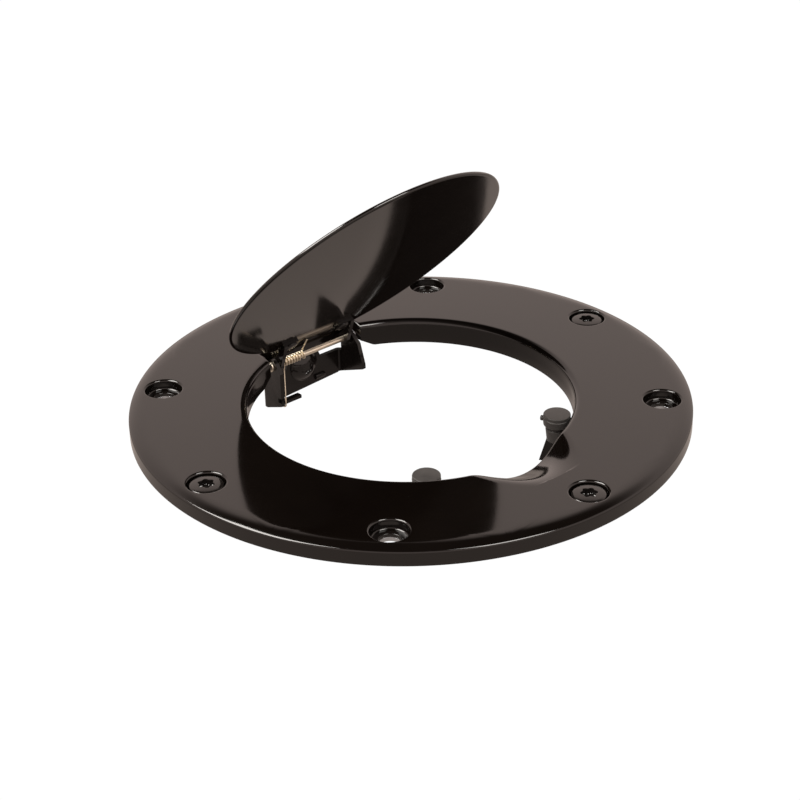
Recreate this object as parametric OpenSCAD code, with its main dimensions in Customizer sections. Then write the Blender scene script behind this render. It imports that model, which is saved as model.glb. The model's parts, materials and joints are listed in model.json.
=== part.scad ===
// Round flush deck hatch: a counterbored face ring with a collar and a finger scoop, a sprung round
// lid on a sheet-steel hinge, rubber lid rests and a backing ring that carries them.
// Millimetres, +Z up. The origin is the ring's centre on its underside, the face that sits on the
// deck. The hinge is at +Y, its pin lies along X, and the finger scoop is at -Y. The lid is drawn
// open, on its stop.

/* [Face ring] */
// Outer diameter of the face ring
ring_d = 190; // [184:0.5:200]
// Thickness of the face ring
ring_h = 6.3; // [6.1:0.1:7]
// Rounding of the outer top edge
shoulder_r = 1; // [0.8:0.1:1.4]
// Radius of the soft crown between the flat top and that edge
crown_r = 9; // [8:0.5:12]
// Width of the crown and the edge together
crown_w = 4.7; // [4:0.1:5]
// Diameter of the opening, at the collar's inner wall
opening_d = 110.8; // [110.4:0.1:111.4]
// Rounding where the top turns into the opening
lip_r = 2.2; // [1.6:0.1:2.6]
// Wall thickness of the collar
collar_t = 2.6; // [2:0.1:3]
// Drop of the collar below the underside
collar_drop = 2.8; // [2:0.1:3]

/* [Finger scoop] */
// Radius of the round trough that forms the scoop
scoop_r = 27; // [22:1:32]
// Depth of the scoop at the opening's wall
scoop_depth = 6.6; // [4:0.1:7]
// Slope of the scoop's floor, in degrees
scoop_slope = 25; // [20:1:32]

/* [Screw holes] */
// Pitch circle diameter of the eight screw places
pitch_d = 169.4; // [168:0.1:171]
// Diameter of the flat-bottomed recess
recess_d = 12.4; // [12:0.1:13]
// Depth of the recess
recess_h = 3.6; // [3.4:0.1:3.8]
// Rounding of the recess's mouth
recess_round = 0.8; // [0.3:0.1:0.9]
// Diameter of the four open mounting holes
mount_hole_d = 7; // [6.4:0.1:7.4]

/* [Ring screws] */
// Thread diameter of the four ring screws
screw_d = 6; // [5.5:0.1:6.2]
// Diameter of the button head
screw_head_d = 11.2; // [10.5:0.1:11.6]
// Height of the button head
screw_head_h = 3.2; // [2.8:0.1:3.3]
// Length of the screw under its head
screw_l = 8; // [7:1:10]

/* [Lid] */
// Diameter of the lid
lid_d = 105; // [104:0.1:107.8]
// Thickness of the lid
lid_t = 1.5; // [1.2:0.1:1.6]
// Angle at which the lid stands open
open_angle = 50.2; // [40:0.1:51.4]

/* [Hinge] */
// Distance of the pin from the ring's centre
pin_y = 54.2; // [54.1:0.1:54.4]
// Depth of the pin below the top of the ring
pin_depth = 4.4; // [4.3:0.1:4.5]
// Diameter of the hinge pin
pin_d = 2; // [1.8:0.1:2.1]
// Outer width of the fixed hinge bracket
bracket_w = 36; // [35.6:0.1:36.4]
// Sheet thickness of the brackets
sheet_t = 1.5; // [1.3:0.1:1.6]
// Distance of the bracket's web from the ring's centre, to its back
web_y = 61; // [60.9:0.1:61.1]

/* [Spring] */
// Wire diameter of the torsion spring
wire_d = 0.56; // [0.5:0.02:0.6]
// Outer diameter of the coil
coil_d = 3.4; // [3.3:0.1:3.5]
// Number of turns around the pin
coil_turns = 7; // [6:1:8]
// Length of the coil
coil_l = 8.4; // [8:0.1:9]

/* [Lid rests] */
// Distance of each rubber rest from the ring's centre
rest_r = 50.4; // [50:0.1:50.6]
// Angle of each rest from the scoop's middle
rest_angle = 35; // [30:1:40]
// Diameter of the rest's head
rest_head_d = 9.4; // [9:0.1:9.6]

/* [Hidden] */

$fn = 96;
e = 0.01;                        // overshoot of a cut, so that no skin is left
ring_r = ring_d / 2;
wall_r = opening_d / 2;
pitch_r = pitch_d / 2;
recess_z = ring_h - recess_h;    // floor of the recess
pocket_h = 1.5;                  // depth of the underside's pocket, which the backing ring fills
pocket_r0 = 66;
pocket_r1 = 90;
ring_gap = 0.2;                  // air around the backing ring
mount_angles = [45, 135, 225, 315];
screw_angles = [0, 90, 180, 270];

// Hinge, seen along the pin. Closed, the lid's disc lies flush in the opening.
pin_z = ring_h - pin_depth;
pin_r = pin_d / 2;
lid_y = -0.8;                    // centre of the closed lid
lid_top = ring_h + 0.05;
lid_under = lid_top - lid_t;
notch_x = 20.5;                  // half width of the ring's hinge notch
notch_y = 57.8;                  // its end wall
ear_x = bracket_w / 2;           // outer face of the fixed bracket's ears
lid_ear_x = ear_x - sheet_t - 0.8;
web_top = ring_h - 11.5;         // top of the bracket's web, beside its raised middle
web_left = ring_h - 22.4;        // its lower edge slants from the left ear to the right one
web_right = ring_h - 20.8;
bend_r = 2.2;                    // outer radius of the bracket's two bends
bracket_back = 70;               // a line well behind the bracket, where ear outlines close
bolt_z = ring_h - 12.4;
bolt_d = 5;
bolt_play = 0.4;                 // air round its shank, in the web and in the lug
bolt_l = 9;                      // length under the head
bolt_head_r = 6;
bolt_head_h = 3.4;
nut_d = 10;                      // ring nuts
nut_h = 3.8;
lug_x = 7;                       // half width of the backing ring's hinge lug
lug_drop = 12.7;                 // its reach below the underside
hook_y = 51.3;                   // where the spring's fixed leg hooks on
hook_z = ring_h - 18.6;
coil_x0 = -13.6;                 // left end of the coil
coil_r = coil_d / 2 - wire_d / 2;
hook_x = -15.9;                  // middle of the wire where it hooks
turn_steps = 16;                 // wire rings in one turn

// Sheet lugs under the lid, one at each end of the pin, drawn with the lid closed
base_t = 1;
base_w = 6.5;                    // width of the foot at each ear
base_y0 = 43.9;
base_y1 = 48.4;
stud_x = lid_ear_x - 4;
stud_y = (base_y0 + base_y1) / 2;
stud_d = 3;

rest_top = lid_under - 0.15;     // air under the closed lid
groove_z = ring_h - 5.6;         // underside of the rest's head
cone_z = ring_h - 6.8;           // top of its tapered neck
arm_top = ring_h - 7.9;
arm_shoulder = ring_h - 11.5;
arm_bottom = ring_h - 20;
foot_r0 = 59.4;                  // the arm's foot, from the collar outwards
foot_r1 = 78;
foot_w = 11;
rivet_d = 3;

// ---- small shapes used by several pieces

// A quarter-round corner cutter: the square at the origin, outside a circle of radius r
module corner(r) {
    difference() {
        square(r + e);
        circle(r);
    }
}

// Six-lobed drive socket, depth h, from z = 0 up
module lobed_socket(h) {
    linear_extrude(h) {
        circle(d = 4.3);
        for (a = [0:60:300]) rotate(a) translate([1.95, 0]) circle(d = 1.7);
    }
}

// Flat-bottomed recess with a rounded mouth, and the screw hole below it
module screw_place(hole_d) {
    translate([0, 0, recess_z]) cylinder(d = recess_d, h = recess_h + 1);
    translate([0, 0, -1]) cylinder(d = hole_d, h = ring_h + 1);
    rotate_extrude() difference() {
        translate([0, ring_h - recess_round]) square([recess_d / 2 + recess_round, recess_round + e]);
        translate([recess_d / 2 + recess_round, ring_h - recess_round]) circle(recess_round);
    }
}

// Extrudes an outline of (y, z) points along X, from x0 to x1
module side_plate(x0, x1) {
    translate([x0, 0, 0]) rotate([90, 0, 90]) linear_extrude(x1 - x0) children();
}

// Puts the closed lid's pieces into the open position
module lid_open() {
    translate([0, pin_y, pin_z]) rotate([-open_angle, 0, 0]) translate([0, -pin_y, -pin_z]) children();
}

// A rounded plate outline seen from above, from y0 to its back face at y: x within +-w
module u_outline(w, y0, y, r) {
    translate([-w, y0]) square([2 * w, y - y0 - r]);
    translate([-w + r, y0]) square([2 * (w - r), y - y0]);
    for (s = [-1, 1]) translate([s * (w - r), y - r]) circle(r);
}

// ---- face ring

module ring_profile() {
    difference() {
        union() {
            translate([wall_r, 0]) square([ring_r - wall_r, ring_h]);
            translate([wall_r, -collar_drop]) square([collar_t, collar_drop + ring_h]);
        }
        crown_cut();
        translate([wall_r + lip_r, ring_h - lip_r]) mirror([1, 0]) corner(lip_r);
        translate([pocket_r0, -e]) square([pocket_r1 - pocket_r0, pocket_h + e]);
    }
}

// What the crown and the shoulder take off the rim's top corner: two arcs that meet at a common tangent
module crown_cut() {
    reach = crown_r - shoulder_r;
    lean = asin((crown_w - shoulder_r) / reach);
    edge_z = ring_h - crown_r + reach * cos(lean);
    far = 2 * crown_r;
    difference() {
        translate([ring_r - crown_w, edge_z]) square([crown_w + e, ring_h - edge_z + e]);
        translate([ring_r - crown_w, ring_h - crown_r]) intersection() {
            circle(crown_r);
            polygon([[-e, 0], [-e, far], [far * tan(lean), far]]);
        }
        translate([ring_r - shoulder_r, edge_z]) circle(shoulder_r);
    }
}

module face_ring() {
    color("#1b1817") difference() {
        rotate_extrude() ring_profile();
        for (a = mount_angles) rotate(a) translate([pitch_r, 0, 0]) screw_place(mount_hole_d);
        for (a = screw_angles) rotate(a) translate([pitch_r, 0, 0]) screw_place(screw_d + 0.6);
        // finger scoop: a round trough, sloping down into the opening
        translate([0, -wall_r, ring_h - scoop_depth]) rotate([90 - scoop_slope, 0, 0])
            translate([0, scoop_r, -20]) cylinder(r = scoop_r, h = 60);
        // hinge notch through the lip and the collar, flared below
        translate([-notch_x, 40, -collar_drop - e])
            cube([2 * notch_x, notch_y - 40, ring_h + collar_drop + 1]);
        side_flare();
        // seat of the backing ring's hinge tongue
        translate([-lug_x - ring_gap, web_y - ring_gap, -e]) cube([2 * (lug_x + ring_gap), 8, pocket_h + e]);
    }
}

// The collar's lower edge runs out at a slant on both sides of the hinge notch
module side_flare() {
    flare = 5;
    low = -collar_drop - e;
    translate([0, 62, 0]) rotate([90, 0, 0]) linear_extrude(22)
        polygon([[-notch_x, 0], [notch_x, 0], [notch_x + flare, low], [-notch_x - flare, low]]);
}

// ---- backing ring and its fastenings

module backing_ring() {
    color("#3a3b3d") difference() {
        union() {
            difference() {
                cylinder(r = pocket_r1 - ring_gap, h = pocket_h);
                translate([0, 0, -1]) cylinder(r = pocket_r0 + ring_gap, h = pocket_h + 2);
            }
            translate([-lug_x, web_y, 0]) cube([2 * lug_x, 8, pocket_h]);
            translate([-lug_x, web_y, -lug_drop]) cube([2 * lug_x, sheet_t, lug_drop + pocket_h]);
        }
        for (a = mount_angles) rotate(a) translate([pitch_r, 0, -1]) cylinder(d = mount_hole_d, h = 4);
        for (a = screw_angles) rotate(a) translate([pitch_r, 0, -1]) cylinder(d = screw_d + 0.4, h = 4);
        for (s = [-1, 1]) arm_place(s) rivet_pair() translate([0, 0, -1]) cylinder(d = rivet_d, h = 4);
        translate([0, web_y - 1, bolt_z]) rotate([-90, 0, 0]) cylinder(d = bolt_d + bolt_play, h = 5);
    }
}

module ring_screws() {
    rim = 1.9;                   // height of the head's cylindrical side
    dome = screw_head_h - rim;
    dome_r = (screw_head_d * screw_head_d / 4 + dome * dome) / (2 * dome);
    color("#0f0e0e") for (a = screw_angles) rotate(a) translate([pitch_r, 0, recess_z]) difference() {
        union() {
            cylinder(d = screw_head_d, h = rim);
            intersection() {
                translate([0, 0, rim + dome - dome_r]) sphere(dome_r);
                translate([0, 0, rim - e]) cylinder(d = screw_head_d, h = dome + 1);
            }
            translate([0, 0, -screw_l]) cylinder(d = screw_d, h = screw_l + e);
        }
        translate([0, 0, screw_head_h - 2]) lobed_socket(3);
    }
}

module ring_nuts() {
    color("#8b8d8f") for (a = screw_angles) rotate(a) translate([pitch_r, 0, -nut_h]) difference() {
        cylinder(d = nut_d, h = nut_h);
        translate([0, 0, -1]) cylinder(d = screw_d + 0.04, h = nut_h + 2);
    }
}

// ---- fixed half of the hinge

// Ear outlines as (y, z), z measured down from the ring's top
function down(points) = [for (p = points) [p[0], ring_h + p[1]]];

module ear_outline(front) {
    polygon(concat(down(front), down([[52, -2.6], [57, -3.2], [57.2, -6.8], [58.3, -7.2]]),
                   [[58.3, web_top], [bracket_back, web_top], [bracket_back, -lug_drop - 5]]));
    translate([pin_y, pin_z]) circle(2.6);
}

// Web outline as (x, z), with a raised middle for the bolt
module web_outline() {
    x = ear_x - bend_r;
    polygon([[-x, web_left], [x, web_right], [x, web_top], [lug_x + 1, web_top],
             [lug_x - 1, ring_h - 7], [1 - lug_x, ring_h - 7], [-lug_x - 1, web_top], [-x, web_top]]);
}

module hinge_bracket() {
    bead_x = 4.9;
    bead_l = 3.6;
    color("#161413") difference() {
        intersection() {
            translate([0, 0, -30]) linear_extrude(40) difference() {
                u_outline(ear_x, 40, web_y, bend_r);
                u_outline(ear_x - sheet_t, 39, web_y - sheet_t, bend_r - sheet_t);
            }
            union() {
                // left ear, deeper, with the notch for the spring's hook
                side_plate(-ear_x - 1, -ear_x + bend_r) difference() {
                    ear_outline([[58, -22.4], [49.6, -18.9], [49.6, -6]]);
                    translate([49, hook_z + 1]) square([2.4, 1.8]);
                }
                // right ear, cut shorter
                side_plate(ear_x - bend_r, ear_x + 1)
                    ear_outline([[60, -20.8], [46, -14.8], [46.1, -13], [48.6, -5.4]]);
                translate([0, web_y + 1, 0]) rotate([90, 0, 0]) linear_extrude(8) web_outline();
            }
        }
        translate([0, pin_y, pin_z]) rotate([0, 90, 0]) cylinder(d = pin_d, h = 60, center = true);
        translate([0, web_y - 5, bolt_z]) rotate([-90, 0, 0]) cylinder(d = bolt_d + bolt_play, h = 10);
    }
    // tab that the spring's fixed leg hooks round, and a short bead pressed into the web beside the bolt
    color("#161413") {
        translate([-ear_x + sheet_t - e, 50.2, hook_z - 0.2]) cube([8, 2.2, 1.2]);
        translate([bead_x, web_y - sheet_t, hook_z - 0.3]) {
            rotate([0, 90, 0]) cylinder(r = 1.1, h = bead_l);
            translate([bead_l, 0, 0]) sphere(1.1);
        }
    }
}

module hinge_bolt() {
    dome_r = (bolt_head_r * bolt_head_r + bolt_head_h * bolt_head_h) / (2 * bolt_head_h);
    color("#121110") translate([0, web_y - sheet_t, bolt_z]) rotate([90, 0, 0]) {
        difference() {
            intersection() {
                translate([0, 0, bolt_head_h - dome_r]) sphere(dome_r);
                cylinder(r = bolt_head_r, h = bolt_head_h + 1);
            }
            translate([0, 0, bolt_head_h - 1.4]) lobed_socket(2);
        }
        translate([0, 0, -bolt_l]) cylinder(d = bolt_d, h = bolt_l + e);
    }
}

module hinge_nut() {
    color("#8b8d8f") translate([0, web_y + sheet_t, bolt_z]) rotate([-90, 0, 0]) difference() {
        union() {
            cylinder(r = 5.2, h = 1.1);
            cylinder(r = 4.62, h = 4.7, $fn = 6);
        }
        translate([0, 0, -1]) cylinder(d = bolt_d + 0.04, h = 8);
    }
}

module hinge_pin() {
    color("#b9b3a6") translate([0, pin_y, pin_z]) rotate([0, 90, 0]) {
        translate([0, 0, -ear_x]) cylinder(d = pin_d, h = 2 * ear_x + 1.6);
        translate([0, 0, -ear_x - 1]) cylinder(d = pin_d + 1.6, h = 1);
    }
}

module pin_clip() {
    color("#8b8d8f") translate([ear_x, pin_y, pin_z]) rotate([0, 90, 0]) difference() {
        cylinder(d = 4.6, h = 0.7);
        translate([0, 0, -1]) cylinder(d = pin_d, h = 3);
    }
}

// ---- lid, with everything that swings with it

module lid() {
    color("#1b1817") lid_open() translate([0, lid_y, lid_under]) rotate_extrude() {
        square([lid_d / 2 - lid_t / 2, lid_t]);
        translate([lid_d / 2 - lid_t / 2, lid_t / 2]) circle(lid_t / 2);
    }
}

module lid_bracket() {
    z = lid_under;
    ear_z = z - base_t;
    color("#141211") lid_open() difference() {
        union() {
            for (x = [-lid_ear_x, lid_ear_x - base_w])
                translate([x, base_y0, ear_z]) cube([base_w, base_y1 - base_y0, base_t]);
            for (x = [-lid_ear_x, lid_ear_x - sheet_t]) side_plate(x, x + sheet_t) {
                polygon([[base_y0, z], [base_y1, z], [base_y1, ear_z], [54.9, ear_z + 0.2],
                         [56.2, pin_z + 1.3], [56, pin_z - 1.5], [52.6, pin_z - 1.8],
                         [base_y0, ear_z - 0.4]]);
                translate([pin_y, pin_z]) circle(2.4);
            }
        }
        translate([0, pin_y, pin_z]) rotate([0, 90, 0]) cylinder(r = pin_r + 0.05, h = 60, center = true);
        for (x = [-stud_x, stud_x]) translate([x, stud_y, z - 3]) cylinder(d = stud_d, h = 4);
    }
}

module lid_studs() {
    color("#141211") lid_open() for (x = [-stud_x, stud_x])
        translate([x, stud_y, lid_under - base_t]) {
            cylinder(d = stud_d, h = base_t);
            translate([0, 0, -0.7]) cylinder(d = stud_d + 1.8, h = 0.7);
        }
}

// ---- torsion spring, swept as a tube along its route

// Points of a helix around the pin, from angle a0 by n turns, starting at x0
function helix(x0, length, a0, n) =
    [for (i = [0:n * turn_steps]) let (a = a0 + i * 360 / turn_steps)
        [x0 + length * i / (n * turn_steps), pin_y + coil_r * cos(a), pin_z + coil_r * sin(a)]];

function unit(v) = v / norm(v);

// A tube of round section along points whose tangents are never parallel to X
module wire(points, d, sides) {
    n = len(points);
    rings = [for (i = [0:n - 1])
        let (t = unit(points[min(i + 1, n - 1)] - points[max(i - 1, 0)]),
             u = unit(cross(t, [1, 0, 0])) * d / 2,
             v = cross(t, u))
        for (k = [0:sides - 1]) points[i] + cos(360 * k / sides) * u + sin(360 * k / sides) * v];
    start = [for (k = [sides - 1:-1:0]) k];
    end = [for (k = [0:sides - 1]) (n - 1) * sides + k];
    walls = [for (i = [0:n - 2], k = [0:sides - 1])
        let (a = i * sides + k, b = i * sides + (k + 1) % sides) [a, b, b + sides, a + sides]];
    polyhedron(points = rings, faces = concat([start], walls, [end]), convexity = 6);
}

// Fixed leg: hangs from the coil's front, meets the tab and hooks back under it
fixed_leg = [[hook_x, hook_y + 1.6, hook_z - 1.6], [hook_x, hook_y + 0.6, hook_z - 1.5],
             [hook_x, hook_y - 1, hook_z - 1], [hook_x, hook_y - 1.5, hook_z],
             [hook_x + 0.2, hook_y - 1.2, hook_z + 3], [coil_x0 - 0.2, pin_y - coil_r - 0.1, pin_z - 3],
             [coil_x0, pin_y - coil_r, pin_z - 0.8]];

module torsion_spring() {
    color("#c9c1b0") wire(concat(fixed_leg, helix(coil_x0, coil_l, 180, coil_turns)), wire_d, 8);
}

// The leg that pushes the lid: a last turn beside the coil, then a straight run up to the lid's underside
module spring_lid_leg() {
    pitch = wire_d + 0.1;
    x = coil_x0 + coil_l + pitch;
    lean = 9;                    // angle between the leg and the lid
    away = open_angle + lean;
    leaves = 90 - away;          // angle round the pin at which the leg leaves it
    start = [x + pitch + 0.1, pin_y + coil_r * cos(leaves), pin_z + coil_r * sin(leaves)];
    leg = [for (s = [2.5, 5, 7]) start + s * [0, -cos(away), sin(away)]];
    color("#c9c1b0") wire(concat(helix(x, pitch, leaves - 360, 1), leg), wire_d, 8);
}

// ---- lid rests and their arms

// Moves a shape drawn at radius 0 along +X to the rest's direction: side -1 is left, 1 is right
module arm_place(side) {
    rotate(-90 + side * rest_angle) mirror([0, side < 0 ? 1 : 0, 0]) children();
}

module rivet_pair() {
    for (r = [69.5, 75.5]) translate([r, foot_w / 2, 0]) children();
}

module rest(side) {
    head_round = 0.7;
    nub_r = 0.9;
    color("#171616") arm_place(side) translate([rest_r, 0, 0]) difference() {
        union() {
            rotate_extrude() difference() {
                translate([0, groove_z]) square([rest_head_d / 2, rest_top - groove_z]);
                translate([rest_head_d / 2 - head_round, rest_top - head_round]) corner(head_round);
            }
            translate([0, 0, cone_z - e]) cylinder(r = 3.2, h = groove_z - cone_z + 2 * e);
            translate([0, 0, arm_shoulder]) cylinder(r1 = 3.3, r2 = 3.8, h = cone_z - arm_shoulder);
            translate([-rest_head_d / 2 - nub_r, 0, groove_z + 1.8]) rotate([0, 90, 0])
                cylinder(r = nub_r, h = 2);
        }
        translate([-rest_head_d, -sheet_t / 2, arm_shoulder - 1])
            cube([2 * rest_head_d, sheet_t, arm_top - arm_shoulder + 1]);
    }
}

// Arm outline as (distance from the ring's centre, z)
module arm_outline() {
    polygon([[rest_r - 2.9, arm_top], [rest_r + 2.9, arm_top], [rest_r + 3.2, arm_shoulder],
             [foot_r0, arm_shoulder], [foot_r0, 0], [foot_r1, 0], [foot_r1, -4], [66, arm_bottom],
             [rest_r - 5.8, arm_bottom], [rest_r - 3.4, arm_shoulder]]);
}

module rest_arm(side) {
    color("#161413") arm_place(side) difference() {
        union() {
            translate([0, sheet_t / 2, 0]) rotate([90, 0, 0]) linear_extrude(sheet_t) arm_outline();
            translate([foot_r0, -sheet_t / 2, -sheet_t]) cube([foot_r1 - foot_r0, foot_w, sheet_t]);
        }
        rivet_pair() translate([0, 0, -4]) cylinder(d = rivet_d, h = 5);
    }
}

module arm_rivets(side) {
    color("#8b8d8f") arm_place(side) rivet_pair() {
        translate([0, 0, -sheet_t]) cylinder(d = rivet_d, h = sheet_t + pocket_h);
        translate([0, 0, -sheet_t - 1]) cylinder(d = 5.4, h = 1);
    }
}

module rest_left() { rest(-1); }
module rest_right() { rest(1); }
module rest_arm_left() { rest_arm(-1); }
module rest_arm_right() { rest_arm(1); }
module arm_rivets_left() { arm_rivets(-1); }
module arm_rivets_right() { arm_rivets(1); }

face_ring();
backing_ring();
ring_screws();
ring_nuts();
hinge_bracket();
hinge_bolt();
hinge_nut();
hinge_pin();
pin_clip();
lid();
lid_bracket();
lid_studs();
torsion_spring();
spring_lid_leg();
rest_left();
rest_right();
rest_arm_left();
rest_arm_right();
arm_rivets_left();
arm_rivets_right();
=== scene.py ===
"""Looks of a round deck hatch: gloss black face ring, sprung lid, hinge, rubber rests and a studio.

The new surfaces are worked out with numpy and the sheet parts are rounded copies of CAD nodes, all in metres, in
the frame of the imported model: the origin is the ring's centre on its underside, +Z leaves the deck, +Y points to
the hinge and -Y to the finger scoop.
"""

import json
import math

import bmesh
import bpy
import numpy as np
from bpy.props import FloatProperty, FloatVectorProperty, IntProperty, PointerProperty
from mathutils import Matrix, Vector


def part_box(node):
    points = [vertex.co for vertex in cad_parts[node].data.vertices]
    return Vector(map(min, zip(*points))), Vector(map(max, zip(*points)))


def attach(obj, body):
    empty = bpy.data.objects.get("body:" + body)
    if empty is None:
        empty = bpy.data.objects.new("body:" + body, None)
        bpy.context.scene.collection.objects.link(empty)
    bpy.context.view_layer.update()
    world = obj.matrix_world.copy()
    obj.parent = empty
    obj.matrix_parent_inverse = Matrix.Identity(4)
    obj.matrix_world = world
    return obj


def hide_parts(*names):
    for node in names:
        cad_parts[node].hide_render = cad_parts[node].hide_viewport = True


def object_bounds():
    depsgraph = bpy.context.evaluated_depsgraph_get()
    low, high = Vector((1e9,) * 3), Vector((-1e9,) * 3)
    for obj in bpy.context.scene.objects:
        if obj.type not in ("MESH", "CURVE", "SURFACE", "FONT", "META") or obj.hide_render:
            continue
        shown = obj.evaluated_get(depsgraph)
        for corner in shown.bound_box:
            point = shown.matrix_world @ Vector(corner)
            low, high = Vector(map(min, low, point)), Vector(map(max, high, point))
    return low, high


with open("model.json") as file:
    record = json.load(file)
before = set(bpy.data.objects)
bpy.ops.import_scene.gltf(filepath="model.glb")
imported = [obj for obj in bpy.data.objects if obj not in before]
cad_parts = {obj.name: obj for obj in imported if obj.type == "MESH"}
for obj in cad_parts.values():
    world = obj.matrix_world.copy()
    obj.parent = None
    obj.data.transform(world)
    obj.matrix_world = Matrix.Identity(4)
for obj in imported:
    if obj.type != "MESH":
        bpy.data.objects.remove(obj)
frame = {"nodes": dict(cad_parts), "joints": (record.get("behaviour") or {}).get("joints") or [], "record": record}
CAD_LOW, CAD_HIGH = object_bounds()

bl_info = {
    "name": "Round deck hatch",
    "version": (1, 0, 0),
    "blender": (4, 5, 0),
    "location": "3D View > Sidebar > Deck hatch",
    "description": "Builds a round deck hatch and its studio around the packed model",
    "category": "Object",
}

MM = 0.001
TURN = 2 * math.pi
WELD = 0.001 * MM            # points nearer than this become one
SHARP = math.radians(34)     # an edge that turns by more than this stays crisp
HALF_SIDE = 2.01             # a rounding takes a little under half of a side

RING_LOW, RING_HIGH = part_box("face_ring")
RIM = min(RING_HIGH.x, RING_HIGH.y, -RING_LOW.x, -RING_LOW.y)
LID_LOW, LID_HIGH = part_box("lid")
HINGE = frame["joints"][0]
PIN = np.array(HINGE["pos_m"])
OPEN_ANGLE = math.radians(HINGE["range_deg"][1])
DECK_SCREWS = next(m for m in frame["record"]["mounts"] if m["name"] == "deck_screws")
PITCH_RADIUS = DECK_SCREWS["dims"]["pcd_mm"] / 2 * MM
COLLAR_DROP = -RING_LOW.z


# ---------------------------------------------------------------- sizes and colours that a user changes


def length(name, description, default, **more):
    """A distance property, in metres."""
    return FloatProperty(
        name=name, description=description, default=default, unit="LENGTH", precision=5, **more
    )


def degrees(name, description, default):
    """An angle property, whose default is given in degrees."""
    return FloatProperty(
        name=name, description=description, default=math.radians(default), subtype="ANGLE"
    )


def brightness(name, description, default):
    """A radiance property."""
    return FloatProperty(name=name, description=description, default=default, min=0)


def colour(name, description, default):
    """A colour property, given as an sRGB hex value."""
    return FloatVectorProperty(
        name=name, description=description, default=linear(default)[:3], subtype="COLOR",
        size=3, min=0, max=1,
    )


def linear(hexadecimal):
    """The linear RGBA of an sRGB hex value such as "#1b1817"."""
    srgb = np.array([int(hexadecimal[i : i + 2], 16) for i in (1, 3, 5)]) / 255
    low, high = srgb / 12.92, ((srgb + 0.055) / 1.055) ** 2.4
    return (*np.where(srgb <= 0.04045, low, high).tolist(), 1.0)


class RingSizes(bpy.types.PropertyGroup):
    """Sizes of the face ring and of what is cut into it."""

    wall: length("Opening radius", "Inner wall of the collar", 55.4 * MM)
    lip: length("Lip rounding", "Rounding where the top turns into the opening", 2.2 * MM)
    shoulder: length("Shoulder rounding", "Rounding of the outer top edge", 1 * MM)
    crown: length("Crown radius", "Radius of the soft crown beside the flat top", 9 * MM)
    crown_width: length("Crown width", "Width of the crown and the shoulder together", 4.7 * MM)
    collar: length("Collar thickness", "Wall thickness of the collar", 2.6 * MM)
    recess: length("Recess radius", "Radius of a screw recess", 6.2 * MM)
    recess_depth: length("Recess depth", "Depth of a screw recess", 3.6 * MM)
    mouth: length("Mouth rounding", "Rounding of a recess's mouth", 0.8 * MM)
    hole: length("Hole radius", "Radius of the screw hole under a recess", 3.5 * MM)
    pocket_depth: length("Pocket depth", "Depth of the underside's pocket", 1.5 * MM)
    pocket_inner: length("Pocket inner radius", "Where the pocket starts", 66 * MM)
    pocket_outer: length("Pocket outer radius", "Where the pocket ends", 90 * MM)
    notch_half: length("Notch half width", "Half width of the hinge notch", 20.5 * MM)
    notch_end: length("Notch end", "Distance of the notch's end wall from the centre", 57.8 * MM)
    scoop_radius: length("Scoop radius", "Radius of the round trough", 27 * MM)
    scoop_depth: length("Scoop depth", "Depth of the trough at the opening", 6.6 * MM)
    scoop_slope: degrees("Scoop slope", "Slope of the trough's floor", 25)
    scoop_blend: length("Scoop blend", "Softness of the scoop's edge", 3 * MM)


class LidSizes(bpy.types.PropertyGroup):
    """Sizes of the lid's disc, as it lies closed."""

    radius: length("Lid radius", "Radius of the disc", (LID_HIGH.x - LID_LOW.x) / 2)
    thickness: length("Lid thickness", "Thickness of the disc", 1.5 * MM)
    middle: length("Lid middle", "Distance of the disc's centre towards the hinge", -0.8 * MM)
    proud: length("Lid height", "Height of the closed lid's top above the ring", 0.05 * MM)


class FastenerSizes(bpy.types.PropertyGroup):
    """Sizes of the screws, the hinge's bolt and pin, and the spring."""

    screw_head: length("Screw head radius", "Button head of a ring screw", 5.6 * MM)
    screw_height: length("Screw head height", "Height of a ring screw's head", 3.2 * MM)
    screw_shank: length("Screw radius", "Shank of a ring screw", 3 * MM)
    bolt_head: length("Bolt head radius", "Round head of the hinge bolt", 6 * MM)
    bolt_height: length("Bolt head height", "Height of the hinge bolt's head", 3.4 * MM)
    bolt_shank: length("Bolt radius", "Shank of the hinge bolt", 2.5 * MM)
    pin: length("Pin radius", "Radius of the hinge pin", 1 * MM)
    wire: length("Wire radius", "Radius of the spring's wire", 0.28 * MM)
    turns: IntProperty(name="Coil turns", description="Turns of the coil", default=7, min=1)


class RestSizes(bpy.types.PropertyGroup):
    """Sizes and places of the rubber rests."""

    distance: length("Rest distance", "Distance of a rest from the centre", 50.4 * MM)
    angle: degrees("Rest angle", "Angle of a rest from the scoop", 35)
    head: length("Rest head radius", "Radius of a rest's head", 4.7 * MM)


class Finishes(bpy.types.PropertyGroup):
    """Colours of the hatch's finishes."""

    coat: colour("Gloss coat", "Gloss black coat of the ring and the lid", "#060403")
    bracket: colour("Bracket coat", "Dipped black coat of the sheet parts", "#0b0908")
    oxide: colour("Black oxide", "Blackened steel of the screws", "#0f0d0c")
    zinc: colour("Zinc plate", "Bright zinc plate of the hidden parts", "#b4b8bc")
    pin: colour("Pin steel", "Drawn steel of the pin", "#e9dfcc")
    wire: colour("Spring wire", "Drawn wire of the spring", "#efe4ce")
    rubber: colour("Rubber", "Rubber of the rests", "#1c1917")


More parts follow.
